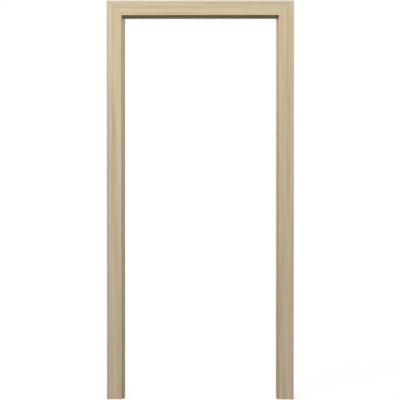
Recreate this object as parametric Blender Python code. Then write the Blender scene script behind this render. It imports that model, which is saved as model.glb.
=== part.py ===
"""Interior door frame for a plastered wall: a rebated lining on three sides of the doorway, a mitred
surround on its front, and an adjustable surround on its back that slides in the lining's groove.

Metres. +X is to the right seen from the front, the front faces -Y, and +Z is up. The origin is in the
middle of the frame's footprint, at floor level.

Every upright and the head carry the same sections. A section is drawn in two coordinates:
u runs outwards from the clear doorway (sideways on a jamb, upwards on the head),
v runs back from the front face of the surround.
"""

import math

import bmesh
import bpy
from mathutils import Vector

# The doorway
CLEAR_WIDTH = 0.803
CLEAR_HEIGHT = 2.010

# The lining: boards through the wall, with the stop standing in from the rebate
LINING_THICKNESS = 0.026
LINING_DEPTH = 0.120
REBATE_STEP = 0.012
REBATE_DEPTH = 0.025
NOSE_RADIUS = 0.0015
BACK_ARRIS_RADIUS = 0.001

# The front surround, glued into the lining's front edge
ARCHITRAVE_WIDTH = 0.0785
ARCHITRAVE_THICKNESS = 0.014
FRONT_TONGUE_THICKNESS = 0.005
FRONT_TONGUE_LENGTH = 0.008
FACE_EDGE_RADIUS = 0.002
REBATE_EDGE_RADIUS = 0.0015

# The back surround, adjustable to the thickness of the wall
REAR_CASING_WIDTH = 0.080
REAR_CASING_THICKNESS = 0.014
REAR_TONGUE_THICKNESS = 0.008
REAR_TONGUE_GRIP = 0.013
ADJUSTMENT_TRAVEL = 0.020

# The seal in the corner of the rebate
GASKET_GROOVE_WIDTH = 0.003
GASKET_GROOVE_DEPTH = 0.006
GASKET_BULB_WIDTH = 0.008
GASKET_BULB_HEIGHT = 0.005
GASKET_BULB_RADIUS = 0.0024
GASKET_HEEL_RADIUS = 0.0008
GASKET_WALL = 0.001
GASKET_FLOOR_GAP = 0.002

# The cam fittings and bent bolts that close the mitred corners of the lining
CORNER_FITTINGS = 2
CAM_DIAMETER = 0.015
CAM_SETBACK = 0.034
CAM_PAST_BOLT = 0.005
CAM_SLOT_LENGTH = 0.010
CAM_SLOT_WIDTH = 0.0016
CAM_SLOT_DEPTH = 0.0025
BOLT_DIAMETER = 0.007
BOLT_NECK_DIAMETER = 0.0045
BOLT_HEAD_LENGTH = 0.003
BOLT_NECK_LENGTH = 0.003

# The butterfly keys pressed into the backs of the surrounds, across each mitre
MITRE_KEYS = 2
KEY_LENGTH = 0.022
KEY_END_WIDTH = 0.011
KEY_WAIST_WIDTH = 0.005
KEY_THICKNESS = 0.008

# Fits and facets
CLEARANCE = 0.0003
CUTTER_OVERRUN = 0.002
ARC_STEPS = 6
ROUND_STEPS = 24

# Where the sections lie, worked out from the sizes above
LINING_FRONT = ARCHITRAVE_THICKNESS + CLEARANCE
LINING_BACK = LINING_FRONT + LINING_DEPTH
CASING_FRONT = LINING_BACK + CLEARANCE
FRAME_DEPTH = CASING_FRONT + REAR_CASING_THICKNESS
FRONT_TONGUE_MIDDLE = (REBATE_STEP + LINING_THICKNESS) / 2
BOARD_MIDDLE = LINING_THICKNESS / 2
REAR_TONGUE_INNER = BOARD_MIDDLE - REAR_TONGUE_THICKNESS / 2
REAR_TONGUE_OUTER = BOARD_MIDDLE + REAR_TONGUE_THICKNESS / 2
REAR_TONGUE_TIP = CASING_FRONT - ADJUSTMENT_TRAVEL - REAR_TONGUE_GRIP
REAR_GROOVE_BOTTOM = REAR_TONGUE_TIP - CLEARANCE
# Half of the gap at a mitre, measured along the member instead of square to the joint
MITRE_SETBACK = CLEARANCE / 2 * math.sqrt(2)

SIDES = {"left": -1, "right": 1}


def clear_scene():
    for obj in list(bpy.data.objects):
        bpy.data.objects.remove(obj, do_unlink=True)


def finish(name, colour, roughness, metallic=0.0):
    """A Principled material of one colour."""
    material = bpy.data.materials.new(name)
    material.use_nodes = True
    shader = material.node_tree.nodes["Principled BSDF"]
    shader.inputs["Base Color"].default_value = (*colour, 1.0)
    shader.inputs["Roughness"].default_value = roughness
    shader.inputs["Metallic"].default_value = metallic
    return material


def new_object(name, mesh_builder, material=None):
    """A mesh object from a filled bmesh, with its faces turned outwards."""
    bmesh.ops.recalc_face_normals(mesh_builder, faces=mesh_builder.faces)
    mesh = bpy.data.meshes.new(name)
    mesh_builder.to_mesh(mesh)
    mesh_builder.free()
    obj = bpy.data.objects.new(name, mesh)
    bpy.context.scene.collection.objects.link(obj)
    if material:
        mesh.materials.append(material)
        mesh.shade_smooth()
        mesh.set_sharp_from_angle(angle=math.radians(30))
    return obj


def as_cutter(obj):
    obj.hide_render = True
    obj.display_type = "WIRE"
    return obj


def cut(obj, cutter):
    modifier = obj.modifiers.new(cutter.name, "BOOLEAN")
    modifier.operation = "DIFFERENCE"
    modifier.solver = "EXACT"
    modifier.object = cutter


def jamb_point(side, u, v, height):
    return Vector((side * (CLEAR_WIDTH / 2 + u), v - FRAME_DEPTH / 2, height))


def head_point(u, v, across):
    return Vector((across, v - FRAME_DEPTH / 2, CLEAR_HEIGHT + u))


def outline(corners):
    """Section points from (u, v, radius) corners: one with a radius becomes an arc between its tangents."""
    points = []
    for index, (u, v, radius) in enumerate(corners):
        corner = Vector((u, v))
        if radius == 0:
            points.append(corner)
            continue
        before = (Vector(corners[index - 1][:2]) - corner).normalized()
        after = (Vector(corners[(index + 1) % len(corners)][:2]) - corner).normalized()
        half_angle = before.angle(after) / 2
        centre = corner + (before + after).normalized() * radius / math.sin(half_angle)
        start = (corner + before * radius / math.tan(half_angle) - centre).normalized()
        end = (corner + after * radius / math.tan(half_angle) - centre).normalized()
        for step in range(ARC_STEPS + 1):
            points.append(centre + start.slerp(end, step / ARC_STEPS) * radius)
    return points


def circle(u, v, radius):
    turns = [2 * math.pi * step / ROUND_STEPS for step in range(ROUND_STEPS)]
    return [Vector((u + radius * math.cos(turn), v + radius * math.sin(turn))) for turn in turns]


def skin(name, rings, material=None):
    """A closed body through rings of equally many points, with flat ends."""
    builder = bmesh.new()
    loops = [[builder.verts.new(point) for point in ring] for ring in rings]
    for lower, upper in zip(loops, loops[1:]):
        for index in range(len(lower)):
            builder.faces.new((lower[index - 1], lower[index], upper[index], upper[index - 1]))
    builder.faces.new(loops[0])
    builder.faces.new(loops[-1])
    return new_object(name, builder, material)


def jamb_member(name, side, section, material=None, foot=0.0, overrun=0.0):
    """A section carried up from the floor to its 45-degree mitre."""
    bottom = [jamb_point(side, u, v, foot - overrun) for u, v in section]
    top = [jamb_point(side, u, v, CLEAR_HEIGHT + u - MITRE_SETBACK + overrun) for u, v in section]
    return skin(name, [bottom, top], material)


def head_member(name, section, material=None, overrun=0.0):
    """A section carried across the doorway between its two mitres."""
    half = CLEAR_WIDTH / 2 - MITRE_SETBACK + overrun
    left = [head_point(u, v, -(half + u)) for u, v in section]
    right = [head_point(u, v, half + u) for u, v in section]
    return skin(name, [left, right], material)


def three_sided(prefix, section, material, foot=0.0):
    """The left, right and head pieces of one section, by name."""
    pieces = {f"{prefix}_{side}": jamb_member(f"{prefix}_{side}", sign, section, material, foot)
              for side, sign in SIDES.items()}
    pieces[f"{prefix}_head"] = head_member(f"{prefix}_head", section, material)
    return pieces


def lining_section():
    """A board with the rebate milled from its front corner, and grooves for the seal and both tongues."""
    groove_half = FRONT_TONGUE_THICKNESS / 2 + CLEARANCE
    groove_bottom = LINING_FRONT + FRONT_TONGUE_LENGTH + CLEARANCE
    seal_groove_bottom = REBATE_DEPTH + GASKET_GROOVE_DEPTH
    return outline([
        (0, REBATE_DEPTH, NOSE_RADIUS),
        (REBATE_STEP - GASKET_GROOVE_WIDTH, REBATE_DEPTH, 0),
        (REBATE_STEP - GASKET_GROOVE_WIDTH, seal_groove_bottom, 0),
        (REBATE_STEP, seal_groove_bottom, 0),
        (REBATE_STEP, LINING_FRONT, 0),
        (FRONT_TONGUE_MIDDLE - groove_half, LINING_FRONT, 0),
        (FRONT_TONGUE_MIDDLE - groove_half, groove_bottom, 0),
        (FRONT_TONGUE_MIDDLE + groove_half, groove_bottom, 0),
        (FRONT_TONGUE_MIDDLE + groove_half, LINING_FRONT, 0),
        (LINING_THICKNESS, LINING_FRONT, 0),
        (LINING_THICKNESS, LINING_BACK, 0),
        (REAR_TONGUE_OUTER + CLEARANCE, LINING_BACK, 0),
        (REAR_TONGUE_OUTER + CLEARANCE, REAR_GROOVE_BOTTOM, 0),
        (REAR_TONGUE_INNER - CLEARANCE, REAR_GROOVE_BOTTOM, 0),
        (REAR_TONGUE_INNER - CLEARANCE, LINING_BACK, 0),
        (0, LINING_BACK, BACK_ARRIS_RADIUS),
    ])


def architrave_section():
    """A flat face board, flush with the rebate at its inner edge, with a tongue on its back."""
    tongue_tip = ARCHITRAVE_THICKNESS + FRONT_TONGUE_LENGTH
    tongue_inner = FRONT_TONGUE_MIDDLE - FRONT_TONGUE_THICKNESS / 2
    tongue_outer = FRONT_TONGUE_MIDDLE + FRONT_TONGUE_THICKNESS / 2
    return outline([
        (REBATE_STEP, 0, REBATE_EDGE_RADIUS),
        (REBATE_STEP, ARCHITRAVE_THICKNESS, 0),
        (tongue_inner, ARCHITRAVE_THICKNESS, 0),
        (tongue_inner, tongue_tip, 0),
        (tongue_outer, tongue_tip, 0),
        (tongue_outer, ARCHITRAVE_THICKNESS, 0),
        (REBATE_STEP + ARCHITRAVE_WIDTH, ARCHITRAVE_THICKNESS, 0),
        (REBATE_STEP + ARCHITRAVE_WIDTH, 0, FACE_EDGE_RADIUS),
    ])


def rear_casing_section():
    """A flat face board whose inner edge runs forward as the long tongue that slides in the lining."""
    back = CASING_FRONT + REAR_CASING_THICKNESS
    return outline([
        (REAR_TONGUE_INNER, REAR_TONGUE_TIP, 0),
        (REAR_TONGUE_INNER, back, FACE_EDGE_RADIUS),
        (REAR_TONGUE_INNER + REAR_CASING_WIDTH, back, FACE_EDGE_RADIUS),
        (REAR_TONGUE_INNER + REAR_CASING_WIDTH, CASING_FRONT, 0),
        (REAR_TONGUE_OUTER, CASING_FRONT, 0),
        (REAR_TONGUE_OUTER, REAR_TONGUE_TIP, 0),
    ])


def gasket_section():
    """A bulb that is round towards the doorway and squarer where it lies on the rebate, with a stem pressed
    into the groove in the corner."""
    outer = REBATE_STEP - CLEARANCE
    inner = outer - GASKET_BULB_WIDTH
    base = REBATE_DEPTH - CLEARANCE
    stem_side = REBATE_STEP - GASKET_GROOVE_WIDTH + CLEARANCE
    stem_tip = REBATE_DEPTH + GASKET_GROOVE_DEPTH - CLEARANCE
    return outline([
        (inner, base, 0),
        (inner, base - GASKET_BULB_HEIGHT, GASKET_BULB_RADIUS),
        (outer, base - GASKET_BULB_HEIGHT, GASKET_HEEL_RADIUS),
        (outer, stem_tip, 0),
        (stem_side, stem_tip, 0),
        (stem_side, base, 0),
    ])


def gasket_chamber_section():
    """The hollow of the bulb, one wall inside its outline."""
    outer = REBATE_STEP - CLEARANCE - GASKET_WALL
    inner = REBATE_STEP - CLEARANCE - GASKET_BULB_WIDTH + GASKET_WALL
    base = REBATE_DEPTH - CLEARANCE - GASKET_WALL
    front = REBATE_DEPTH - CLEARANCE - GASKET_BULB_HEIGHT + GASKET_WALL
    radius = GASKET_BULB_RADIUS - GASKET_WALL
    return outline([(inner, base, 0), (inner, front, radius), (outer, front, radius), (outer, base, 0)])


def add_gaskets(material):
    pieces = three_sided("gasket", gasket_section(), material, GASKET_FLOOR_GAP)
    chamber = gasket_chamber_section()
    for side, sign in SIDES.items():
        cutter = jamb_member(f"chamber_{side}", sign, chamber, overrun=CUTTER_OVERRUN)
        cut(pieces[f"gasket_{side}"], as_cutter(cutter))
    cut(pieces["gasket_head"], as_cutter(head_member("chamber_head", chamber, overrun=CUTTER_OVERRUN)))


def fitting_depths():
    """Where the corner fittings sit, evenly between the stop and the bottom of the rear groove."""
    pitch = (REAR_GROOVE_BOTTOM - REBATE_DEPTH) / CORNER_FITTINGS
    return [REBATE_DEPTH + pitch * (index + 0.5) for index in range(CORNER_FITTINGS)]


def corner_rings(side, v, stations):
    """Rings of a round bar that runs in the middle of the head board, turns at the mitre and runs down
    the middle of the jamb. A station is (distance from the mitre, radius), first on the head."""
    mitre_across = CLEAR_WIDTH / 2 + BOARD_MIDDLE
    mitre_height = CLEAR_HEIGHT + BOARD_MIDDLE
    rings = [[head_point(u, w, side * (mitre_across - distance)) for u, w in circle(BOARD_MIDDLE, v, radius)]
             for distance, radius in stations]
    elbow = circle(BOARD_MIDDLE, v, stations[-1][1])
    rings.append([head_point(u, w, side * (CLEAR_WIDTH / 2 + u)) for u, w in elbow])
    rings += [[jamb_point(side, u, w, mitre_height - distance) for u, w in circle(BOARD_MIDDLE, v, radius)]
              for distance, radius in reversed(stations)]
    return rings


def bolt_stations():
    """Head, neck and shank of the bent bolt, from the middle of a cam towards the mitre."""
    head_end = CAM_SETBACK - BOLT_HEAD_LENGTH
    neck_end = head_end - BOLT_NECK_LENGTH
    shank = BOLT_DIAMETER / 2
    neck = BOLT_NECK_DIAMETER / 2
    return [(CAM_SETBACK, shank), (head_end, shank), (head_end, neck), (neck_end, neck), (neck_end, shank)]


def fitting_plug(name, board, side, v, shape, depths, material=None):
    """A straight plug square to a board's outer face, centred on a cam: shape is its outline in plan,
    and depths are the u of its two ends."""
    setback = CLEAR_WIDTH / 2 + BOARD_MIDDLE - CAM_SETBACK
    height = CLEAR_HEIGHT + BOARD_MIDDLE - CAM_SETBACK
    if board == "head":
        rings = [[head_point(u, v + q, side * (setback + p)) for p, q in shape] for u in depths]
    else:
        rings = [[jamb_point(side, u, v + q, height + p) for p, q in shape] for u in depths]
    return skin(name, rings, material)


def cross_shape():
    """The outline of a cross slot, for a screwdriver."""
    arm = CAM_SLOT_LENGTH / 2
    half = CAM_SLOT_WIDTH / 2
    return [(arm, half), (half, half), (half, arm), (-half, arm), (-half, half), (-arm, half),
            (-arm, -half), (-half, -half), (-half, -arm), (half, -arm), (half, -half), (arm, -half)]


def add_corner_fittings(linings, cam_finish, bolt_finish):
    """Cams in both boards and a bent bolt between them, with their bores in the lining."""
    cam_depths = (BOARD_MIDDLE - CAM_PAST_BOLT, LINING_THICKNESS - CLEARANCE)
    cam_round = circle(0, 0, CAM_DIAMETER / 2)
    pocket_round = circle(0, 0, CAM_DIAMETER / 2 + CLEARANCE)
    pocket_depths = (cam_depths[0] - CLEARANCE, LINING_THICKNESS + CUTTER_OVERRUN)
    slot_depths = (cam_depths[1] - CAM_SLOT_DEPTH, LINING_THICKNESS + CUTTER_OVERRUN)
    bore_stations = [(CAM_SETBACK + CLEARANCE, BOLT_DIAMETER / 2 + CLEARANCE)]
    for side, sign in SIDES.items():
        for number, v in enumerate(fitting_depths(), start=1):
            skin(f"corner_bolt_{side}_{number}", corner_rings(sign, v, bolt_stations()), bolt_finish)
            bore = as_cutter(skin(f"bolt_bore_{side}_{number}", corner_rings(sign, v, bore_stations)))
            for board, lining in (("jamb", linings[f"lining_{side}"]), ("head", linings["lining_head"])):
                place = f"{side}_{board}_{number}"
                cam = fitting_plug(f"cam_{place}", board, sign, v, cam_round, cam_depths, cam_finish)
                slot = fitting_plug(f"cam_slot_{place}", board, sign, v, cross_shape(), slot_depths)
                pocket = fitting_plug(f"cam_pocket_{place}", board, sign, v, pocket_round, pocket_depths)
                cut(cam, bore)
                cut(cam, as_cutter(slot))
                cut(lining, as_cutter(pocket))
                cut(lining, bore)


def butterfly(name, side, u, v_ends, growth, material=None):
    """A bow-tie key across the mitre at depth u, with its waist on the joint; growth widens it all round."""
    half_length = KEY_LENGTH / 2 + growth
    half_end = KEY_END_WIDTH / 2 + growth
    half_waist = KEY_WAIST_WIDTH / 2 + growth
    shape = [(-half_length, -half_end), (0, -half_waist), (half_length, -half_end),
             (half_length, half_end), (0, half_waist), (-half_length, half_end)]
    along = Vector((side, 0, 1)).normalized()
    across = Vector((side, 0, -1)).normalized()
    rings = []
    for v in v_ends:
        middle = head_point(u, v, side * (CLEAR_WIDTH / 2 + u))
        rings.append([middle + across * p + along * q for p, q in shape])
    return skin(name, rings, material)


def add_mitre_keys(prefix, surround, pieces, inner_edge, width, face, into_board, material):
    """Keys evenly spaced along each mitre, let into the face of the surround that meets the wall."""
    keys = []
    pitch = width / (MITRE_KEYS + 1)
    key_ends = (face + into_board * CLEARANCE, face + into_board * (CLEARANCE + KEY_THICKNESS))
    slot_ends = (face - into_board * CUTTER_OVERRUN, key_ends[1] + into_board * CLEARANCE)
    for side, sign in SIDES.items():
        for number in range(1, MITRE_KEYS + 1):
            u = inner_edge + pitch * number
            keys.append(butterfly(f"{prefix}_{side}_{number}", sign, u, key_ends, 0, material))
            slot = as_cutter(butterfly(f"{prefix}_slot_{side}_{number}", sign, u, slot_ends, CLEARANCE))
            cut(pieces[f"{surround}_{side}"], slot)
            cut(pieces[f"{surround}_head"], slot)
    return keys


def gather_adjustable(pieces):
    """Parents the sliding surround to an empty on its line of travel."""
    slide = bpy.data.objects.new("adjustable_surround", None)
    slide.location = (0, CASING_FRONT - FRAME_DEPTH / 2, 0)
    bpy.context.scene.collection.objects.link(slide)
    bpy.context.view_layer.update()
    for piece in pieces:
        piece.parent = slide
        piece.matrix_parent_inverse = slide.matrix_world.inverted()


def build():
    clear_scene()
    oak = finish("oak_laminate", (0.55, 0.46, 0.31), 0.5)
    seal = finish("seal_beige", (0.42, 0.34, 0.23), 0.7)
    zinc = finish("cam_zinc", (0.55, 0.55, 0.53), 0.4, 1.0)
    steel = finish("bolt_steel", (0.6, 0.58, 0.52), 0.35, 1.0)
    nylon = finish("key_nylon", (0.08, 0.08, 0.08), 0.5)

    linings = three_sided("lining", lining_section(), oak)
    architraves = three_sided("architrave", architrave_section(), oak)
    rear_casings = three_sided("rear_casing", rear_casing_section(), oak)
    add_gaskets(seal)
    add_corner_fittings(linings, zinc, steel)
    add_mitre_keys("front_key", "architrave", architraves, REBATE_STEP, ARCHITRAVE_WIDTH,
                   ARCHITRAVE_THICKNESS, -1, nylon)
    rear_keys = add_mitre_keys("rear_key", "rear_casing", rear_casings, REAR_TONGUE_INNER, REAR_CASING_WIDTH,
                               CASING_FRONT, 1, nylon)
    gather_adjustable([*rear_casings.values(), *rear_keys])


build()
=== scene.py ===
"""The look of an interior door frame wrapped in light oak laminate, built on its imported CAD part.

Metres. +X is to the right seen from the front, the front faces -Y, and +Z is up.
Every board is drawn as a section in (u, v): u runs outwards from the clear doorway (sideways on a jamb,
upwards on the head) and v runs back from the front face of the surround.
"""

import math

import bmesh
import bpy
import numpy as np
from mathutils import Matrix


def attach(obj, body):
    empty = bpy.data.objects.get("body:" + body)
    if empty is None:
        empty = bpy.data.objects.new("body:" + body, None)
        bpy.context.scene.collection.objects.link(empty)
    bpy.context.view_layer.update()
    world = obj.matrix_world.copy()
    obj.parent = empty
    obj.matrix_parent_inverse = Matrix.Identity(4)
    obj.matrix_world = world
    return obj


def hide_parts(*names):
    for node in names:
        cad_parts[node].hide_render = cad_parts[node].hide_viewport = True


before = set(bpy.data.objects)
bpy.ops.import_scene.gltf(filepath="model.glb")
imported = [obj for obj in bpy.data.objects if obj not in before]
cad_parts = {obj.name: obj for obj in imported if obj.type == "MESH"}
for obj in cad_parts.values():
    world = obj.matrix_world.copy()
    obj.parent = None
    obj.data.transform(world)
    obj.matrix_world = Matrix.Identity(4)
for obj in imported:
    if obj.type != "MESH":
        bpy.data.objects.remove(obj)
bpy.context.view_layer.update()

# The doorway and the boards' sections, as in the CAD part
CLEAR_WIDTH = 0.803
CLEAR_HEIGHT = 2.010
FRAME_DEPTH = 0.1486
LINING_THICKNESS = 0.026
LINING_FRONT = 0.0143
LINING_BACK = 0.1343
REBATE_STEP = 0.012
REBATE_DEPTH = 0.025
ARCHITRAVE_WIDTH = 0.0785
ARCHITRAVE_THICKNESS = 0.014
TONGUE_INNER = 0.0165
TONGUE_OUTER = 0.0215
TONGUE_TIP = 0.022
CASING_FRONT = 0.1346
CASING_INNER = 0.009
CASING_WIDTH = 0.080
REAR_TONGUE_OUTER = 0.017
REAR_TONGUE_TIP = 0.1016
REAR_GROOVE_BOTTOM = 0.1013
SEAL_GROOVE_WIDTH = 0.003
SEAL_GROOVE_DEPTH = 0.006
FIT = 0.0003

# Finer sizes that only the surfaces have
FACE_RADIUS = 0.002
INNER_RADIUS = 0.0015
NOSE_RADIUS = 0.0015
ARRIS_RADIUS = 0.001
LAMINATE_RETURN = 0.014
MITRE_GAP = 0.00015
ARC_STEPS = 10
CUTTER_OVERRUN = 0.002
SHARP_ANGLE = math.radians(35)

# The seal, as (u, v, radius) corners: the bulb, the stem's barbs down its wall side, and those up its
# doorway side
SEAL_FLOOR_GAP = 0.002
SEAL_MITRE_GAP = 0.0003
SEAL_BULB = [(0.0037, 0.0247, 0.0004), (0.0037, 0.0197, 0.0024), (0.0117, 0.0197, 0.0008)]
SEAL_WALL_BARBS = [
    (0.0117, 0.0252, 0), (0.0112, 0.0256, 0), (0.0117, 0.0263, 0), (0.0111, 0.0270, 0),
    (0.0116, 0.0278, 0), (0.0110, 0.0285, 0), (0.0115, 0.0293, 0), (0.0108, 0.0307, 0.0003)]
SEAL_DOORWAY_BARBS = [
    (0.0102, 0.0307, 0.0003), (0.0094, 0.0293, 0), (0.0099, 0.0285, 0), (0.0093, 0.0278, 0),
    (0.0098, 0.0270, 0), (0.0093, 0.0263, 0), (0.0098, 0.0256, 0), (0.0098, 0.0247, 0)]
SEAL_CHAMBER = [
    (0.0047, 0.0237, 0.0004), (0.0047, 0.0207, 0.0014), (0.0107, 0.0207, 0.0014), (0.0107, 0.0237, 0.0004)]

# Corner fittings
BOARD_MIDDLE = LINING_THICKNESS / 2
CAM_RADIUS = 0.0075
CAM_SETBACK = 0.034
CAM_INNER = 0.008
CAM_OUTER = 0.0257
CAM_CELLS = 56
CAM_BEVEL = 0.0004
CAM_DISH_RADIUS = 0.0066
CAM_DISH_DEPTH = 0.0006
CROSS_REACH = 0.0046
CROSS_HALF_WIDTH = 0.0006
CROSS_DEPTH = 0.0022
CROSS_SLOPE = 0.0005
FITTING_DEPTHS = (0.044075, 0.082225)
BOLT_RADIUS = 0.0035
POCKET_STEPS = 48
BORE_STEPS = 24

# Mitre keys
KEY_LENGTH = 0.022
KEY_END_WIDTH = 0.011
KEY_WAIST_WIDTH = 0.005
KEY_THICKNESS = 0.008
KEY_BEVEL = 0.0004
KEY_BEVEL_DEPTH = 0.0005
KEY_TOOTH = 0.0003
KEY_TEETH_SPAN = (0.15, 0.95)
KEY_STEPS = 33
KEYS_PER_MITRE = 2

# The studio
FLOOR_LEVEL = -0.0005
FLOOR_REACH = 30.0
FLOOR_BOUNCE = 0.12
SHADOW_STRENGTH = 0.1
SHADOW_REACH = (1.6, 3.2)
DOME_EVEN = 0.48
DOME_FRONT = 0.65
DOME_LEFT = 0.33
HORIZON = 0.05
KEY_LIGHT = {"place": (-0.5, -3.0, 4.7), "target": (0, 0, 1.6), "size": 1.2, "power": 156}
BACK_FILL = {"place": (-1.6, 4.2, 3.2), "target": (0, 0, 1.05), "size": 2.0, "power": 120}
SENSOR_WIDTH = 36.0
CLIP_END = 100.0
LENS = 201.91
CAMERA_PLACE = (0.1086, -11.8743, 1.3297)
CAMERA_YAW = -0.00931
CAMERA_PITCH = -0.02357

# The foil: every board has its own stretch of a reel, and its own tint, which on some boards also paints
# light and shade
FOIL_SEED = 7
FOIL_REEL_LENGTH = 40
FOIL_DRIFT = 0.008
RINGS_PER_METRE = 165.0
ARCH_RINGS = 14.0
SEASON_RINGS = 3.2
# Painted edge light: towards the arrises the foil is painted darker on the jambs, as painted shade, and
# paler on the head, as a painted highlight
EDGE_LIGHT_FADE = (0.002, 0.018)
EDGE_LIGHT_STRENGTH = 0.45
# Tints per board. Of the surrounds the left jamb's is lighter and the right's darker, as painted light from
# the left, and the head's is its own tone. Of the linings the left and the head are darker and warmer, as
# painted shade in the reveal and under the head.
FOIL_TINTS_AND_SIDE_LIGHT = {"left": (1.027, 1.022, 1.028), "right": (1.005, 0.98, 0.985), "head": (0.91, 0.915, 0.915)}
LINING_TINTS_AND_SHADE = {"left": (0.915, 0.905, 0.88), "right": (1.005, 0.98, 0.985), "head": (0.945, 0.87, 0.80)}

# The boards' finishes, by their place in the list of materials
OAK, RAW, PAPER = range(3)

# The three members, and which way each jamb lies
MEMBERS = ("left", "right", "head")
SIDES = {"left": -1, "right": 1}


class Shade:
    """An output of a node. Arithmetic on it adds Math nodes, and node() adds a node of any other kind."""

    def __init__(self, tree, made=None, out=0):
        self.tree = tree
        self.made = made
        self.out = out

    def output(self, out):
        """Another output of the same node, by name or number."""
        return Shade(self.tree, self.made, out)

    def node(self, kind, sockets=None, out=0, **settings):
        """A new node: its settings go in first, then the values or links of its sockets, by name, or by
        number where two share a name."""
        made = self.tree.nodes.new("ShaderNode" + kind)
        stops = settings.pop("stops", None)
        for name, value in settings.items():
            setattr(made, name, value)
        if stops:
            ramp = made.color_ramp.elements
            while len(ramp) < len(stops):
                ramp.new(0.5)
            for element, (place, colour) in zip(ramp, stops):
                element.position = place
                element.color = (*colour, 1)
        for name, value in (sockets or {}).items():
            if isinstance(value, Shade):
                self.tree.links.new(value.made.outputs[value.out], made.inputs[name])
            else:
                made.inputs[name].default_value = value
        return Shade(self.tree, made, out)

    def math(self, operation, first, second=0.0):
        return self.node("Math", {0: first, 1: second}, operation=operation)

    def __add__(self, other):
        return self.math("ADD", self, other)

    def __sub__(self, other):
        return self.math("SUBTRACT", self, other)

    def __rsub__(self, other):
        return self.math("SUBTRACT", other, self)

    def __mul__(self, other):
        return self.math("MULTIPLY", self, other)

    __radd__ = __add__
    __rmul__ = __mul__

    def fraction(self):
        return self.math("FRACT", self)

    def rise(self, low, high):
        """0 below low, 1 above high, and a smooth rise between them."""
        return self.node("MapRange", {"Value": self, "From Min": low, "From Max": high},
                         interpolation_type="SMOOTHSTEP")

    def noise(self, place, scale, detail=2.0, roughness=0.5):
        """Noise from 0 to 1, with its own number of grains per metre along each axis."""
        stretched = self.node("Mapping", {"Vector": place, "Scale": scale})
        return self.node("TexNoise", {"Vector": stretched, "Scale": 1.0, "Detail": detail,
                                      "Roughness": roughness})

    def blend(self, factor, first, second, mode="MIX"):
        """Two colours mixed by a factor."""
        return self.node("Mix", {0: factor, 6: first, 7: second}, out=2, data_type="RGBA", blend_type=mode)


def new_material(name):
    """An empty material, and the Shade that its nodes grow from."""
    material = bpy.data.materials.new(name)
    material.use_nodes = True
    material.node_tree.nodes.clear()
    return material, Shade(material.node_tree)


def finish_material(shade, colour, roughness, relief, relief_depth, metallic=0.0, specular=0.5):
    """A Principled shader: a colour and a roughness that vary, and a relief of so many metres as bump."""
    bump = shade.node("Bump", {"Strength": 1.0, "Distance": relief_depth, "Height": relief})
    shader = shade.node("BsdfPrincipled", {"Base Color": colour, "Roughness": roughness, "Normal": bump,
                                           "Metallic": metallic, "Specular IOR Level": specular})
    shade.node("OutputMaterial", {"Surface": shader})


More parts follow.
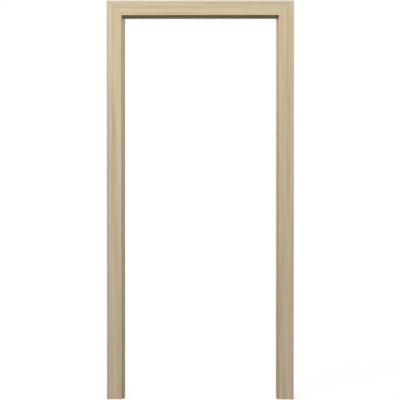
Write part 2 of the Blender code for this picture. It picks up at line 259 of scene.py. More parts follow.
def oak_laminate():
    """Light oak foil. The "foil" UV map is the foil laid flat, in metres: first across the grain, then along
    it. The "arris" UV map is the distance across the grain from each of the board's two rounded arrises, and
    a point attribute is the board's tint: its reel's own tone, with painted light and shade on some boards.

    Growth rings are the fractional part of the distance across the board, bent by a slow noise so that the
    lines swell and close into long arches, and by a finer one so that wide and narrow rings alternate. On
    top lie broad tone changes, rosy and straw-coloured streaks, fibres and short dark pores. Towards the
    arrises the foil is painted greyer in patches: darker on the jambs, as painted shade, and paler along the
    head, as a painted highlight. A second point attribute tells the two apart."""
    material, shade = new_material("oak_laminate")
    foil = shade.node("UVMap", uv_map="foil")
    drift = shade.noise(foil, (16.0, 1.3, 1.0), detail=1.0) - 0.5
    flat = shade.node("SeparateXYZ", {"Vector": foil}, out="X")
    along = flat.output("Y")
    across = flat + drift * FOIL_DRIFT
    bent = shade.node("CombineXYZ", {"X": across, "Y": along})
    tone = shade.noise(bent, (42.0, 0.9, 1.0), detail=2.0) - 0.5
    hue = shade.noise(bent, (34.0, 1.6, 1.0), detail=1.0).rise(0.3, 0.7)
    arch = shade.noise(bent, (11.0, 0.55, 1.0), detail=1.0)
    season = shade.noise(bent, (62.0, 1.1, 1.0), detail=1.0)
    ring = (across * RINGS_PER_METRE + arch * ARCH_RINGS + season * SEASON_RINGS).fraction()
    late = ring.rise(0.2, 0.85) * (1 - ring.rise(0.86, 1.0))
    fibre = shade.noise(bent, (430.0, 6.0, 1.0), detail=3.0, roughness=0.6) - 0.5
    thread = shade.noise(bent, (1500.0, 30.0, 1.0), detail=2.0) - 0.5
    pore = shade.noise(bent, (1900.0, 85.0, 1.0), detail=1.0).rise(0.60, 0.72) * (0.35 + late * 0.65)
    figure = 0.5 + tone * 1.1 - (late - 0.4) * 0.2 + fibre * 0.42 + thread * 0.22
    colour = shade.node("ValToRGB", {"Fac": figure}, stops=[
        (0.15, (0.409, 0.319, 0.190)), (0.5, (0.520, 0.428, 0.283)), (0.85, (0.616, 0.526, 0.370))])
    tint = shade.blend(hue, (0.979, 1.017, 0.993, 1), (1.021, 0.983, 1.007, 1))
    # Each board's tint: its reel's own tone, with painted light from the left on the jambs and painted shade
    # on the left and head linings
    board_tint_and_light = shade.node("Attribute", out="Color", attribute_name="board_tint_and_light")
    colour = shade.blend(1.0, shade.blend(1.0, colour, tint, "MULTIPLY"), board_tint_and_light, "MULTIPLY")
    colour = shade.blend(pore * 0.35, colour, (0.26, 0.18, 0.095, 1))
    # Painted shade and highlight at the arrises: greyer and darker along the jambs, paler along the head
    gaps = shade.node("SeparateXYZ", {"Vector": shade.node("UVMap", uv_map="arris")}, out="X")
    nearest = shade.math("MINIMUM", shade.math("ABSOLUTE", gaps), shade.math("ABSOLUTE", gaps.output("Y")))
    patchy = shade.noise(foil, (60.0, 9.0, 1.0), detail=3.0) * 0.8 + 0.6
    painted_edge_light = (1 - nearest.rise(*EDGE_LIGHT_FADE)) * patchy
    edge_in_shade = shade.node("Attribute", out="Fac", attribute_name="edge_in_shade")
    edge_light_colour = shade.blend(edge_in_shade, (0.60, 0.54, 0.47, 1), (0.40, 0.385, 0.36, 1))
    colour = shade.blend(painted_edge_light * EDGE_LIGHT_STRENGTH, colour, edge_light_colour)
    roughness = 0.64 + fibre * 0.14 + pore * 0.12 + painted_edge_light * 0.05
    finish_material(shade, colour, roughness, thread * 0.25 - pore, 0.00012, specular=0.2)
    return material


def raw_board():
    """Sawn fibreboard: a brown felt of short fibres with pale and dark flecks."""
    material, shade = new_material("raw_fibreboard")
    place = shade.node("TexCoord", out="Object")
    cloud = shade.noise(place, (90.0, 90.0, 90.0), detail=3.0) - 0.5
    felt = shade.noise(place, (1300.0, 1300.0, 1300.0), detail=3.0, roughness=0.7) - 0.5
    fleck = shade.noise(place, (2600.0, 2600.0, 700.0), detail=1.0).rise(0.63, 0.72)
    tint = 0.5 + cloud * 0.5 + felt * 0.9
    colour = shade.node("ValToRGB", {"Fac": tint}, stops=[
        (0.1, (0.235, 0.150, 0.080)), (0.5, (0.335, 0.225, 0.130)), (0.9, (0.450, 0.320, 0.200))])
    colour = shade.blend(fleck * 0.5, colour, (0.55, 0.43, 0.28, 1))
    finish_material(shade, colour, 0.86 + felt * 0.1, felt, 0.0002, specular=0.2)
    return material


def backing_paper():
    """Plain backing paper on the side towards the wall: greyish beige, with faint fibres and patches."""
    material, shade = new_material("backing_paper")
    place = shade.node("TexCoord", out="Object")
    pulp = shade.noise(place, (700.0, 700.0, 260.0), detail=3.0, roughness=0.65) - 0.5
    patch = shade.noise(place, (26.0, 26.0, 9.0), detail=2.0) - 0.5
    tint = 0.5 + pulp * 0.6 + patch * 0.5
    colour = shade.node("ValToRGB", {"Fac": tint}, stops=[
        (0.1, (0.400, 0.335, 0.250)), (0.5, (0.490, 0.420, 0.325)), (0.9, (0.565, 0.495, 0.395))])
    finish_material(shade, colour, 0.8 + patch * 0.12, pulp, 0.00006, specular=0.2)
    return material


def beige_seal():
    """Soft beige elastomer, with a fine drawn texture along it and slow clouds of tone."""
    material, shade = new_material("beige_seal")
    foil = shade.node("UVMap", uv_map="foil")
    drawn = shade.noise(foil, (2200.0, 14.0, 1.0), detail=2.0) - 0.5
    cloud = shade.noise(foil, (60.0, 9.0, 1.0), detail=2.0) - 0.5
    tint = 0.5 + drawn * 0.4 + cloud * 0.5
    colour = shade.node("ValToRGB", {"Fac": tint}, stops=[
        (0.1, (0.400, 0.318, 0.180)), (0.5, (0.465, 0.372, 0.214)), (0.9, (0.520, 0.422, 0.254))])
    finish_material(shade, colour, 0.66 + drawn * 0.15, drawn, 0.00005, specular=0.3)
    return material


def cast_zinc():
    """Die-cast zinc: a grainy grey skin with slow clouds of tone."""
    material, shade = new_material("cast_zinc")
    place = shade.node("TexCoord", out="Object")
    grit = shade.noise(place, (1800.0, 1800.0, 1800.0), detail=3.0, roughness=0.6) - 0.5
    cloud = shade.noise(place, (240.0, 240.0, 240.0), detail=2.0) - 0.5
    tint = 0.5 + grit * 0.5 + cloud * 0.6
    colour = shade.node("ValToRGB", {"Fac": tint}, stops=[
        (0.1, (0.40, 0.40, 0.39)), (0.5, (0.55, 0.55, 0.53)), (0.9, (0.68, 0.68, 0.66))])
    finish_material(shade, colour, 0.42 + grit * 0.25, grit, 0.00006, metallic=1.0)
    return material


def plated_steel():
    """Bright zinc plating with a faint yellow bloom and fine marks."""
    material, shade = new_material("plated_steel")
    place = shade.node("TexCoord", out="Object")
    marks = shade.noise(place, (2600.0, 2600.0, 2600.0), detail=2.0) - 0.5
    bloom = shade.noise(place, (150.0, 150.0, 150.0), detail=2.0)
    colour = shade.blend(bloom, (0.62, 0.61, 0.57, 1), (0.62, 0.57, 0.44, 1))
    finish_material(shade, colour, 0.3 + marks * 0.2, marks, 0.00002, metallic=1.0)
    return material


def black_nylon():
    """Moulded black nylon with a fine sparked skin."""
    material, shade = new_material("black_nylon")
    place = shade.node("TexCoord", out="Object")
    spark = shade.noise(place, (3200.0, 3200.0, 3200.0), detail=2.0) - 0.5
    cloud = shade.noise(place, (110.0, 110.0, 110.0), detail=2.0)
    colour = shade.blend(cloud, (0.018, 0.018, 0.019, 1), (0.045, 0.044, 0.043, 1))
    finish_material(shade, colour, 0.48 + spark * 0.2, spark, 0.00004)
    return material


def outline(corners, steps=ARC_STEPS):
    """Points round a section, from (u, v, radius, surface) corners, and the surface of the side after each.

    A corner with a radius becomes an arc. Its centre lies on the line that halves the corner. Its points are
    the centre plus the radius times a direction that turns evenly from one tangent point to the other."""
    spots = np.array([corner[:2] for corner in corners], float)
    points, surfaces = [], []
    for index, (u, v, radius, surface) in enumerate(corners):
        spot = spots[index]
        if radius == 0:
            points.append(spot[None])
            surfaces.append(surface)
            continue
        back = spots[index - 1] - spot
        ahead = spots[(index + 1) % len(spots)] - spot
        back, ahead = back / np.linalg.norm(back), ahead / np.linalg.norm(ahead)
        half = math.acos(float(np.clip(back @ ahead, -1, 1))) / 2
        bisector = (back + ahead) / np.linalg.norm(back + ahead)
        centre = spot + bisector * radius / math.sin(half)
        start = spot + back * radius / math.tan(half) - centre
        end = spot + ahead * radius / math.tan(half) - centre
        first = math.atan2(start[1], start[0])
        turn = (math.atan2(end[1], end[0]) - first + math.pi) % (2 * math.pi) - math.pi
        angles = first + turn * np.linspace(0, 1, steps + 1)
        points.append(centre + radius * np.column_stack((np.cos(angles), np.sin(angles))))
        surfaces += [surface] * (steps + 1)
    return np.concatenate(points), surfaces


def place_points(member, u, v, t):
    """Section coordinates and the distance t along a member, as points: on a jamb t is the height and u goes
    sideways, and on the head t goes across and u upwards."""
    if member == "head":
        return np.column_stack((t, v - FRAME_DEPTH / 2, CLEAR_HEIGHT + u))
    return np.column_stack((SIDES[member] * (CLEAR_WIDTH / 2 + u), v - FRAME_DEPTH / 2, t))


def member_ends(member, u, gap, foot=0.0, overrun=0.0):
    """Where each section point begins and ends along its member: square at the floor, at 45 degrees where
    the jamb meets the head, and half the joint's gap short of it."""
    setback = gap / math.sqrt(2)
    if member == "head":
        reach = CLEAR_WIDTH / 2 + u - setback + overrun
        return -reach, reach
    return np.full_like(u, foot - overrun), CLEAR_HEIGHT + u - setback + overrun


def add_piece(name, points, faces, finishes, surfaces=None, foil=None):
    """A piece from arrays: its points, its faces, each face's finish, and the foil's UV at each corner."""
    mesh = bpy.data.meshes.new(name)
    mesh.from_pydata(points, [], faces)
    for finish in finishes:
        mesh.materials.append(finish)
    if surfaces is not None:
        mesh.polygons.foreach_set("material_index", np.asarray(surfaces, np.int32))
    layer = mesh.uv_layers.new(name="foil")
    if foil is not None:
        layer.data.foreach_set("uv", np.asarray(foil, np.float32).ravel())
    mesh.update()
    piece = bpy.data.objects.new(name, mesh)
    bpy.context.scene.collection.objects.link(piece)
    return piece


def face_outwards(piece):
    """Turns every face outwards, then shades arcs smooth and keeps the flats flat."""
    builder = bmesh.new()
    builder.from_mesh(piece.data)
    bmesh.ops.recalc_face_normals(builder, faces=builder.faces)
    builder.to_mesh(piece.data)
    builder.free()
    piece.data.shade_smooth()
    piece.data.set_sharp_from_angle(angle=SHARP_ANGLE)


def prism(name, member, section, finishes, gap=MITRE_GAP, foot=0.0, overrun=0.0, foil_start=(0.0, 0.0),
          arrises=()):
    """A section carried along a member. The foil's first coordinate is the length round the section from its
    first corner, and the second is the distance along the member. A pair of arrises gives the "arris" UV map
    the gaps to each of them, and the two ends count as far from both."""
    spots, surfaces = section
    u, v = spots.T
    low, high = member_ends(member, u, gap, foot, overrun)
    points = np.concatenate((place_points(member, u, v, low), place_points(member, u, v, high)))
    count = len(spots)
    here = np.arange(count)
    after = (here + 1) % count
    sides = np.column_stack((here, after, after + count, here + count))
    caps = [list(range(count)), list(range(count, 2 * count))]
    steps = np.linalg.norm(spots[after] - spots, axis=1)
    girth = np.concatenate(([0], np.cumsum(steps)))
    along_low, along_high = low + foil_start[1], high + foil_start[1]
    corner_girth = np.column_stack((girth[:-1], girth[1:], girth[1:], girth[:-1]))
    corner_along = np.column_stack((along_low[here], along_low[after], along_high[after], along_high[here]))
    foil = np.stack((corner_girth + foil_start[0], corner_along), axis=-1).reshape(-1, 2)
    foil = np.concatenate((foil, spots, spots))
    kinds = [*surfaces, RAW, RAW] if len(finishes) > 1 else [0] * (count + 2)
    piece = add_piece(name, points, [*sides.tolist(), *caps], finishes, kinds, foil)
    if arrises:
        gaps = [arris_gaps(corner_girth, girth, spots, arris) for arris in arrises]
        far = np.ones((2 * count, 2))
        layer = piece.data.uv_layers.new(name="arris")
        layer.data.foreach_set("uv", np.concatenate((np.stack(gaps, -1).reshape(-1, 2), far)).ravel())
    return piece


def arris_gaps(corner_girth, girth, spots, arris):
    """Signed distances round the section, from an arris to the corners of each side. The girth closes on
    itself, so the middle of each side is taken the short way round, and its corners follow it."""
    start = girth[np.argmin(np.linalg.norm(spots - np.array(arris), axis=1))]
    total = girth[-1]
    middle = (girth[:-1] + girth[1:]) / 2
    wrapped = (middle - start + total / 2) % total - total / 2
    return wrapped[:, None] + corner_girth - middle[:, None]


def tidy_shading(piece):
    """Turns the piece's faces outwards and weights its shading by area, so that the large flats stay flat
    beside their arcs."""
    face_outwards(piece)
    weighted = piece.modifiers.new("flats", "WEIGHTED_NORMAL")
    weighted.keep_sharp = True
    bake(piece)


def bake(piece):
    """Swaps the piece's mesh for the one that its modifiers give."""
    graph = bpy.context.evaluated_depsgraph_get()
    made = bpy.data.meshes.new_from_object(piece.evaluated_get(graph), preserve_all_data_layers=True,
                                           depsgraph=graph)
    piece.modifiers.clear()
    made.name = piece.name
    piece.data = made


def carve(piece, cutters):
    """Cuts shapes out of a piece. The cut faces take the finish whose number the cutter's faces carry."""
    for cutter in cutters:
        face_outwards(cutter)
        modifier = piece.modifiers.new(cutter.name, "BOOLEAN")
        modifier.operation = "DIFFERENCE"
        modifier.solver = "EXACT"
        modifier.object = cutter
    face_outwards(piece)
    bake(piece)


def discard(pieces):
    """Removes pieces that only served to cut others."""
    for piece in pieces:
        mesh = piece.data
        bpy.data.objects.remove(piece)
        bpy.data.meshes.remove(mesh)


def lining_section():
    """A board through the wall: foil on the stop, its nose, the reveal and the back edge, raw grooves."""
    groove_inner, groove_outer = TONGUE_INNER - FIT, TONGUE_OUTER + FIT
    seal_bottom = REBATE_DEPTH + SEAL_GROOVE_DEPTH
    return outline([
        (0, REBATE_DEPTH, NOSE_RADIUS, OAK),
        (REBATE_STEP - SEAL_GROOVE_WIDTH, REBATE_DEPTH, 0, RAW),
        (REBATE_STEP - SEAL_GROOVE_WIDTH, seal_bottom, 0, RAW),
        (REBATE_STEP, seal_bottom, 0, OAK),
        (REBATE_STEP, LINING_FRONT, 0, RAW),
        (groove_inner, LINING_FRONT, 0, RAW),
        (groove_inner, TONGUE_TIP + FIT, 0, RAW),
        (groove_outer, TONGUE_TIP + FIT, 0, RAW),
        (groove_outer, LINING_FRONT, 0, RAW),
        (LINING_THICKNESS, LINING_FRONT, 0, PAPER),
        (LINING_THICKNESS, LINING_BACK, 0, RAW),
        (REAR_TONGUE_OUTER + FIT, LINING_BACK, 0, RAW),
        (REAR_TONGUE_OUTER + FIT, REAR_GROOVE_BOTTOM, 0, RAW),
        (CASING_INNER - FIT, REAR_GROOVE_BOTTOM, 0, RAW),
        (CASING_INNER - FIT, LINING_BACK, 0, OAK),
        (0, LINING_BACK, ARRIS_RADIUS, OAK),
    ])


def architrave_section():
    """A face board: foil round the front and both edges, returned a little way onto the back."""
    outer = REBATE_STEP + ARCHITRAVE_WIDTH
    return outline([
        (REBATE_STEP, 0, INNER_RADIUS, OAK),
        (REBATE_STEP, ARCHITRAVE_THICKNESS, 0, RAW),
        (TONGUE_INNER, ARCHITRAVE_THICKNESS, 0, RAW),
        (TONGUE_INNER, TONGUE_TIP, 0, RAW),
        (TONGUE_OUTER, TONGUE_TIP, 0, RAW),
        (TONGUE_OUTER, ARCHITRAVE_THICKNESS, 0, PAPER),
        (outer - LAMINATE_RETURN, ARCHITRAVE_THICKNESS, 0, OAK),
        (outer, ARCHITRAVE_THICKNESS, 0, OAK),
        (outer, 0, FACE_RADIUS, OAK),
    ])


def casing_section():
    """The adjustable face board of the other side, whose inner edge runs forward as a long tongue."""
    back = FRAME_DEPTH
    outer = CASING_INNER + CASING_WIDTH
    return outline([
        (CASING_INNER, REAR_TONGUE_TIP, 0, OAK),
        (CASING_INNER, back, FACE_RADIUS, OAK),
        (outer, back, FACE_RADIUS, OAK),
        (outer, CASING_FRONT, 0, OAK),
        (outer - LAMINATE_RETURN, CASING_FRONT, 0, PAPER),
        (REAR_TONGUE_OUTER, CASING_FRONT, 0, RAW),
        (REAR_TONGUE_OUTER, REAR_TONGUE_TIP, 0, RAW),
    ])


def bore_rings(side_name, v):
    """The bent round bore of a corner bolt: a circle in the middle of the head board at a cam, one in the
    plane of the mitre, and one in the middle of the jamb at its cam."""
    turns = np.linspace(0, 2 * math.pi, BORE_STEPS, endpoint=False)
    side = SIDES[side_name]
    radius = BOLT_RADIUS + FIT
    reach = CAM_SETBACK + FIT
    u = BOARD_MIDDLE + radius * np.cos(turns)
    depth = v + radius * np.sin(turns)
    across = np.full_like(u, side * (CLEAR_WIDTH / 2 + BOARD_MIDDLE - reach))
    height = np.full_like(u, CLEAR_HEIGHT + BOARD_MIDDLE - reach)
    return [place_points("head", u, depth, across),
            place_points("head", u, depth, side * (CLEAR_WIDTH / 2 + u)),
            place_points(side_name, u, depth, height)]


def skin(name, rings, finishes, surface=0):
    """A closed body through rings of equally many points, with flat ends."""
    count = len(rings[0])
    here = np.arange(count)
    after = (here + 1) % count
    band = np.column_stack((here, after, after + count, here + count))
    sides = [face for level in range(len(rings) - 1) for face in (band + level * count).tolist()]
    last = (len(rings) - 1) * count
    caps = [list(range(count)), list(range(last, last + count))]
    return add_piece(name, np.concatenate(rings), [*sides, *caps], finishes,
                     [surface] * (len(sides) + 2))


def cam_centre(board, side):
    """How far along its board a cam sits: its setback from the middle of the mitre."""
    if board == "head":
        return side * (CLEAR_WIDTH / 2 + BOARD_MIDDLE - CAM_SETBACK)
    return CLEAR_HEIGHT + BOARD_MIDDLE - CAM_SETBACK


def cam_place(board, side, v, p, q, u):
    """Points of a fitting from plan offsets (p along the board, q back from the cam) and the depth u."""
    member = "head" if board == "head" else ("left" if side < 0 else "right")
    return place_points(member, u, v + q, cam_centre(board, side) + p)


def pocket(name, board, side, v, finishes):
    """The round pocket of a cam, open to the wall side."""
    turns = np.linspace(0, 2 * math.pi, POCKET_STEPS, endpoint=False)
    radius = CAM_RADIUS + FIT
    p, q = radius * np.cos(turns), radius * np.sin(turns)
    rings = [cam_place(board, side, v, p, q, np.full_like(p, u))
             for u in (CAM_INNER - FIT, LINING_THICKNESS + CUTTER_OVERRUN)]
    return skin(name, rings, finishes, RAW)


def cam(name, board, side, v, finish):
    """A cast cam. Its face is a square grid pressed into a disc: each point keeps its larger coordinate as
    the radius and its angle along that square ring. The face is dished, has a bevelled rim and a cross
    recess with sloping walls, and straight sides run down to a flat bottom."""
    line = np.linspace(-1, 1, CAM_CELLS + 1)
    a, b = np.meshgrid(line, line, indexing="ij")
    ring = np.maximum(np.abs(a), np.abs(b))
    larger_a = np.abs(a) >= np.abs(b)
    safe = np.where(ring == 0, 1, ring)
    slope = np.where(larger_a, b, a) / safe * math.pi / 4 * np.sign(np.where(larger_a, a, b))
    angle = np.where(larger_a, np.where(a >= 0, 0, math.pi) + slope,
                     np.where(b >= 0, math.pi / 2, -math.pi / 2) - slope)
    radius = ring * CAM_RADIUS
    p, q = radius * np.cos(angle), radius * np.sin(angle)
    rim = CAM_BEVEL * np.clip((radius - CAM_RADIUS + CAM_BEVEL) / CAM_BEVEL, 0, 1)
    dish = CAM_DISH_DEPTH * smooth((CAM_DISH_RADIUS - radius) / CAM_DISH_DEPTH)
    arm = np.minimum(np.maximum(np.abs(p) - CROSS_REACH, np.abs(q) - CROSS_HALF_WIDTH),
                     np.maximum(np.abs(q) - CROSS_REACH, np.abs(p) - CROSS_HALF_WIDTH))
    recess = CROSS_DEPTH * smooth(-arm / CROSS_SLOPE + 0.5)
    top = CAM_OUTER - rim - dish - recess
    count = (CAM_CELLS + 1) ** 2
    index = np.arange(count).reshape(CAM_CELLS + 1, CAM_CELLS + 1)
    quads = np.stack((index[:-1, :-1], index[1:, :-1], index[1:, 1:], index[:-1, 1:]), -1).reshape(-1, 4)
    edge = np.concatenate((index[:-1, 0], index[-1, :-1], index[:0:-1, -1], index[0, :0:-1]))
    face = cam_place(board, side, v, p.ravel(), q.ravel(), top.ravel())
    low = cam_place(board, side, v, p.ravel()[edge], q.ravel()[edge], np.full(len(edge), CAM_INNER))
    here = np.arange(len(edge))
    after = (here + 1) % len(edge)
    walls = np.column_stack((edge[here], edge[after], count + after, count + here))
    faces = [*quads.tolist(), *walls.tolist(), list(range(count, count + len(edge)))]
    return add_piece(name, np.concatenate((face, low)), faces, [finish])


def smooth(x):
    """0 below 0, 1 above 1, and a smooth rise between them."""
    x = np.clip(x, 0, 1)
    return x * x * (3 - 2 * x)


def butterfly(name, side, u, depths, growths, finishes, surface=0, teeth=0.0):
    """A bow-tie key across a mitre. Its outline is straight from each wide end to the waist, and teeth is
    the depth of the small notches in its slanting sides. Each depth has its own growth of the outline."""
    half_length, half_end, half_waist = KEY_LENGTH / 2, KEY_END_WIDTH / 2, KEY_WAIST_WIDTH / 2
    steps = np.linspace(-1, 1, KEY_STEPS)
    first_tooth, last_tooth = KEY_TEETH_SPAN
    toothed = (np.abs(steps) > first_tooth) & (np.abs(steps) < last_tooth)
    tooth = teeth * (np.arange(KEY_STEPS) % 2) * toothed
    height = half_waist + (half_end - half_waist) * np.abs(steps) - tooth
    along = np.concatenate((steps, steps[::-1])) * half_length
    across = np.concatenate((height, -height[::-1]))
    direction = np.array([side, 0, 1]) / math.sqrt(2)
    square = np.array([side, 0, -1]) / math.sqrt(2)
    rings = []
    for v, growth in zip(depths, growths):
        middle = np.array([side * (CLEAR_WIDTH / 2 + u), v - FRAME_DEPTH / 2, CLEAR_HEIGHT + u])
        long = along + growth * np.sign(along)
        wide = across + growth * np.sign(across)
        rings.append(middle + square * long[:, None] + direction * wide[:, None])
    return skin(name, rings, finishes, surface)


def add_boards(finishes):
    """Every wrapped board, each from its own stretch of foil and with its own tint, which on some boards
    also paints light and shade. The two arrises of a board are those painted darker or paler, or one of them
    twice."""
    outer = REBATE_STEP + ARCHITRAVE_WIDTH
    rear_outer = CASING_INNER + CASING_WIDTH
    kinds = {"lining": (lining_section(), [(0, LINING_BACK), (0, LINING_BACK)]),
             "architrave": (architrave_section(), [(outer, 0), (outer, 0)]),
             "rear_casing": (casing_section(), [(CASING_INNER, FRAME_DEPTH), (rear_outer, FRAME_DEPTH)])}
    draws = (len(kinds) * len(MEMBERS), 2)
    starts = np.random.default_rng(FOIL_SEED).uniform(0, FOIL_REEL_LENGTH, draws)
    boards = {}
    for index, (kind, (section, arrises)) in enumerate(kinds.items()):
        for place, member in enumerate(MEMBERS):
            name = f"{kind}_{member}"
            board = prism(f"wrapped_{name}", member, section, finishes,
                          foil_start=starts[index * len(MEMBERS) + place], arrises=arrises)
            # The tint paints light from the left onto the jambs and shade into the left and head linings
            tint = (LINING_TINTS_AND_SHADE if kind == "lining" else FOIL_TINTS_AND_SIDE_LIGHT)[member]
            count = len(board.data.vertices)
            board_tint_and_light = board.data.attributes.new("board_tint_and_light", "FLOAT_VECTOR", "POINT")
            board_tint_and_light.data.foreach_set("vector", np.tile(tint, count))
            # 1 on the jambs, whose arrises get painted shade; 0 on the head, whose arrises get a painted
            # highlight
            edge_in_shade = board.data.attributes.new("edge_in_shade", "FLOAT", "POINT")
            edge_in_shade.data.foreach_set("value", np.full(count, 0.0 if member == "head" else 1.0))
            boards[name] = board
    return boards


def add_seals(finish):
    """A hollow bulb on a barbed stem, in the corner of the rebate."""
    outer = outline([(*corner, 0) for corner in SEAL_BULB + SEAL_WALL_BARBS + SEAL_DOORWAY_BARBS])
    chamber = outline([(*corner, 0) for corner in SEAL_CHAMBER])
    for index, member in enumerate(MEMBERS):
        seal = prism(f"bulb_seal_{member}", member, outer, [finish], gap=SEAL_MITRE_GAP,
                     foot=SEAL_FLOOR_GAP, foil_start=(index, index * 3))
        hollow = prism("hollow", member, chamber, [finish], gap=0, foot=SEAL_FLOOR_GAP,
                       overrun=CUTTER_OVERRUN / 2)
        carve(seal, [hollow])
        discard([hollow])
        tidy_shading(seal)
        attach(seal, "fixed_frame")
        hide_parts(f"gasket_{member}")


def add_corner_fittings(boards, finishes, zinc, steel):
    """Cams in their pockets, and the bores of the bent bolts that join them. The bolts themselves are the
    CAD's, in plated steel."""
    cuts = {"lining_left": [], "lining_right": [], "lining_head": []}
    spare = []
    for side_name, side in SIDES.items():
        for number, v in enumerate(FITTING_DEPTHS, start=1):
            bore = skin(f"bore_{side_name}_{number}", bore_rings(side_name, v), finishes, RAW)
            spare.append(bore)
            for board in ("jamb", "head"):
                place = f"{side_name}_{board}_{number}"
                target = "lining_head" if board == "head" else f"lining_{side_name}"
                hole = pocket(f"pocket_{place}", board, side, v, finishes)
                spare.append(hole)
                cuts[target] += [hole, bore]
                part = cam(f"cast_cam_{place}", board, side, v, zinc)
                carve(part, [bore])
                part.data.materials.clear()
                part.data.materials.append(zinc)
                tidy_shading(part)
                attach(part, "fixed_frame")
                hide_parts(f"cam_{place}")
    for name, cutters in cuts.items():
        carve(boards[name], cutters)
    discard(spare)
    for name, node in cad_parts.items():
        if name.startswith("corner_bolt"):
            node.material_slots[0].material = steel


def add_mitre_keys(boards, finishes, nylon):
    """Toothed keys across the mitres, in slots in the backs of both surrounds."""
    layouts = (("front_key", "architrave", REBATE_STEP, ARCHITRAVE_WIDTH, ARCHITRAVE_THICKNESS, -1,
                "fixed_frame"),
               ("rear_key", "rear_casing", CASING_INNER, CASING_WIDTH, CASING_FRONT, 1,
                "adjustable_surround"))
    for prefix, kind, inner, width, face, into, body in layouts:
        cuts = {f"{kind}_{member}": [] for member in MEMBERS}
        spare = []
        top, bottom = face + into * FIT, face + into * (FIT + KEY_THICKNESS)
        for side_name, side in SIDES.items():
            for number in range(1, KEYS_PER_MITRE + 1):
                u = inner + width / (KEYS_PER_MITRE + 1) * number
                depths = (top, top + into * KEY_BEVEL_DEPTH, bottom - into * KEY_BEVEL_DEPTH, bottom)
                key = butterfly(f"ribbed_{prefix}_{side_name}_{number}", side, u, depths,
                                (-KEY_BEVEL, 0, 0, -KEY_BEVEL), [nylon], teeth=KEY_TOOTH)
                tidy_shading(key)
                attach(key, body)
                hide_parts(f"{prefix}_{side_name}_{number}")
                slot_ends = (face - into * CUTTER_OVERRUN, bottom + into * FIT)
                slot = butterfly(f"slot_{prefix}_{side_name}_{number}", side, u, slot_ends, (FIT, FIT),
                                 finishes, RAW)
                spare.append(slot)
                cuts[f"{kind}_{side_name}"].append(slot)
                cuts[f"{kind}_head"].append(slot)
        for name, cutters in cuts.items():
            carve(boards[name], cutters)
        discard(spare)


def settle_boards(boards):
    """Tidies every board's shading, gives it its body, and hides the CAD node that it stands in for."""
    for name, board in boards.items():
        tidy_shading(board)
        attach(board, "adjustable_surround" if name.startswith("rear_casing") else "fixed_frame")
        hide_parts(name)


def shown_rays(shade):
    """1 for the rays that see the backdrop: the camera's own, and those that gloss or glass sends on."""
    camera_ray = shade.node("LightPath", out="Is Camera Ray")
    seen = shade.math("MAXIMUM", camera_ray, camera_ray.output("Is Glossy Ray"))
    return shade.math("MAXIMUM", seen, camera_ray.output("Is Transmission Ray"))


def add_floor():
    """A pale floor that the camera sees as white, with the frame's shadow on it."""
    material, shade = new_material("studio_floor")
    seen = shown_rays(shade)
    place = shade.node("TexCoord", out="Object")
    grain = shade.noise(place, (3.0, 3.0, 1.0), detail=3.0) - 0.5
    distance = shade.node("VectorMath", {0: place}, out="Value", operation="LENGTH")
    near = 1 - distance.rise(*SHADOW_REACH)
    tint = shade.blend(grain + 0.5, (0.80, 0.80, 0.79, 1), (0.86, 0.86, 0.85, 1))
    pale = shade.node("BsdfDiffuse", {"Color": tint})
    white = shade.node("Emission", {"Color": (1, 1, 1, 1), "Strength": 1.0})
    shown = shade.node("MixShader", {0: near * SHADOW_STRENGTH, 1: white, 2: pale})
    dim = shade.node("BsdfDiffuse", {"Color": (FLOOR_BOUNCE, FLOOR_BOUNCE, FLOOR_BOUNCE, 1)})
    both = shade.node("MixShader", {0: seen, 1: dim, 2: shown})
    shade.node("OutputMaterial", {"Surface": both})
    corners = np.array([(-1, -1), (1, -1), (1, 1), (-1, 1)]) * FLOOR_REACH
    points = np.column_stack((corners, np.full(4, FLOOR_LEVEL)))
    mesh = bpy.data.meshes.new("studio_floor")
    mesh.from_pydata(points, [], [(0, 1, 2, 3)])
    mesh.materials.append(material)
    floor = bpy.data.objects.new("studio_floor", mesh)
    bpy.context.scene.collection.objects.link(floor)


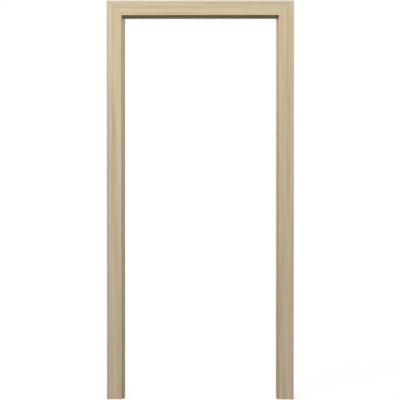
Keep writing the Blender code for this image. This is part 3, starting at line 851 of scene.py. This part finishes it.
def add_world():
    """White to the camera and to gloss, and otherwise a soft dome, brighter in front and on the left."""
    world = bpy.data.worlds.new("studio")
    world.use_nodes = True
    world.node_tree.nodes.clear()
    shade = Shade(world.node_tree)
    seen = shown_rays(shade)
    right = shade.node("SeparateXYZ", {"Vector": shade.node("TexCoord", out="Generated")}, out="X")
    back = right.output("Y")
    upward = right.output("Z")
    front_share = shade.math("MAXIMUM", back * -DOME_FRONT, 0.0)
    left_share = shade.math("MAXIMUM", right * -DOME_LEFT, 0.0)
    strength = (front_share + left_share + DOME_EVEN) * upward.rise(-HORIZON, HORIZON)
    dome = shade.node("Background", {"Color": (1, 1, 1, 1), "Strength": strength})
    white = shade.node("Background", {"Color": (1, 1, 1, 1), "Strength": 1.0})
    both = shade.node("MixShader", {0: seen, 1: dome, 2: white})
    shade.node("OutputWorld", {"Surface": both})
    bpy.context.scene.world = world


def aim(light, target):
    """Points a light, which shines along its own -Z, at a target."""
    direction = np.array(target, float) - np.array(light.location)
    flat = math.hypot(direction[0], direction[1])
    light.rotation_euler = (math.atan2(flat, -direction[2]), 0, math.atan2(-direction[0], direction[1]))


def add_light(name, place, target, size, power):
    """A square soft box, with its power in watts."""
    data = bpy.data.lights.new(name, "AREA")
    data.shape = "SQUARE"
    data.size = size
    data.energy = power
    light = bpy.data.objects.new(name, data)
    light.location = place
    bpy.context.scene.collection.objects.link(light)
    aim(light, target)


def add_camera():
    """A long lens, a little above the middle of the frame and level but for a slight pitch."""
    data = bpy.data.cameras.new("camera")
    data.sensor_width = SENSOR_WIDTH
    data.lens = LENS
    data.clip_end = CLIP_END
    camera = bpy.data.objects.new("camera", data)
    camera.location = CAMERA_PLACE
    camera.rotation_euler = (math.pi / 2 + CAMERA_PITCH, 0, -CAMERA_YAW)
    bpy.context.scene.collection.objects.link(camera)
    bpy.context.scene.camera = camera


finishes = [oak_laminate(), raw_board(), backing_paper()]
boards = add_boards(finishes)
add_seals(beige_seal())
add_corner_fittings(boards, finishes, cast_zinc(), plated_steel())
add_mitre_keys(boards, finishes, black_nylon())
settle_boards(boards)
add_floor()
add_world()
add_light("key", **KEY_LIGHT)
add_light("back_fill", **BACK_FILL)
add_camera()

scene = bpy.context.scene
scene.view_settings.view_transform = "Standard"
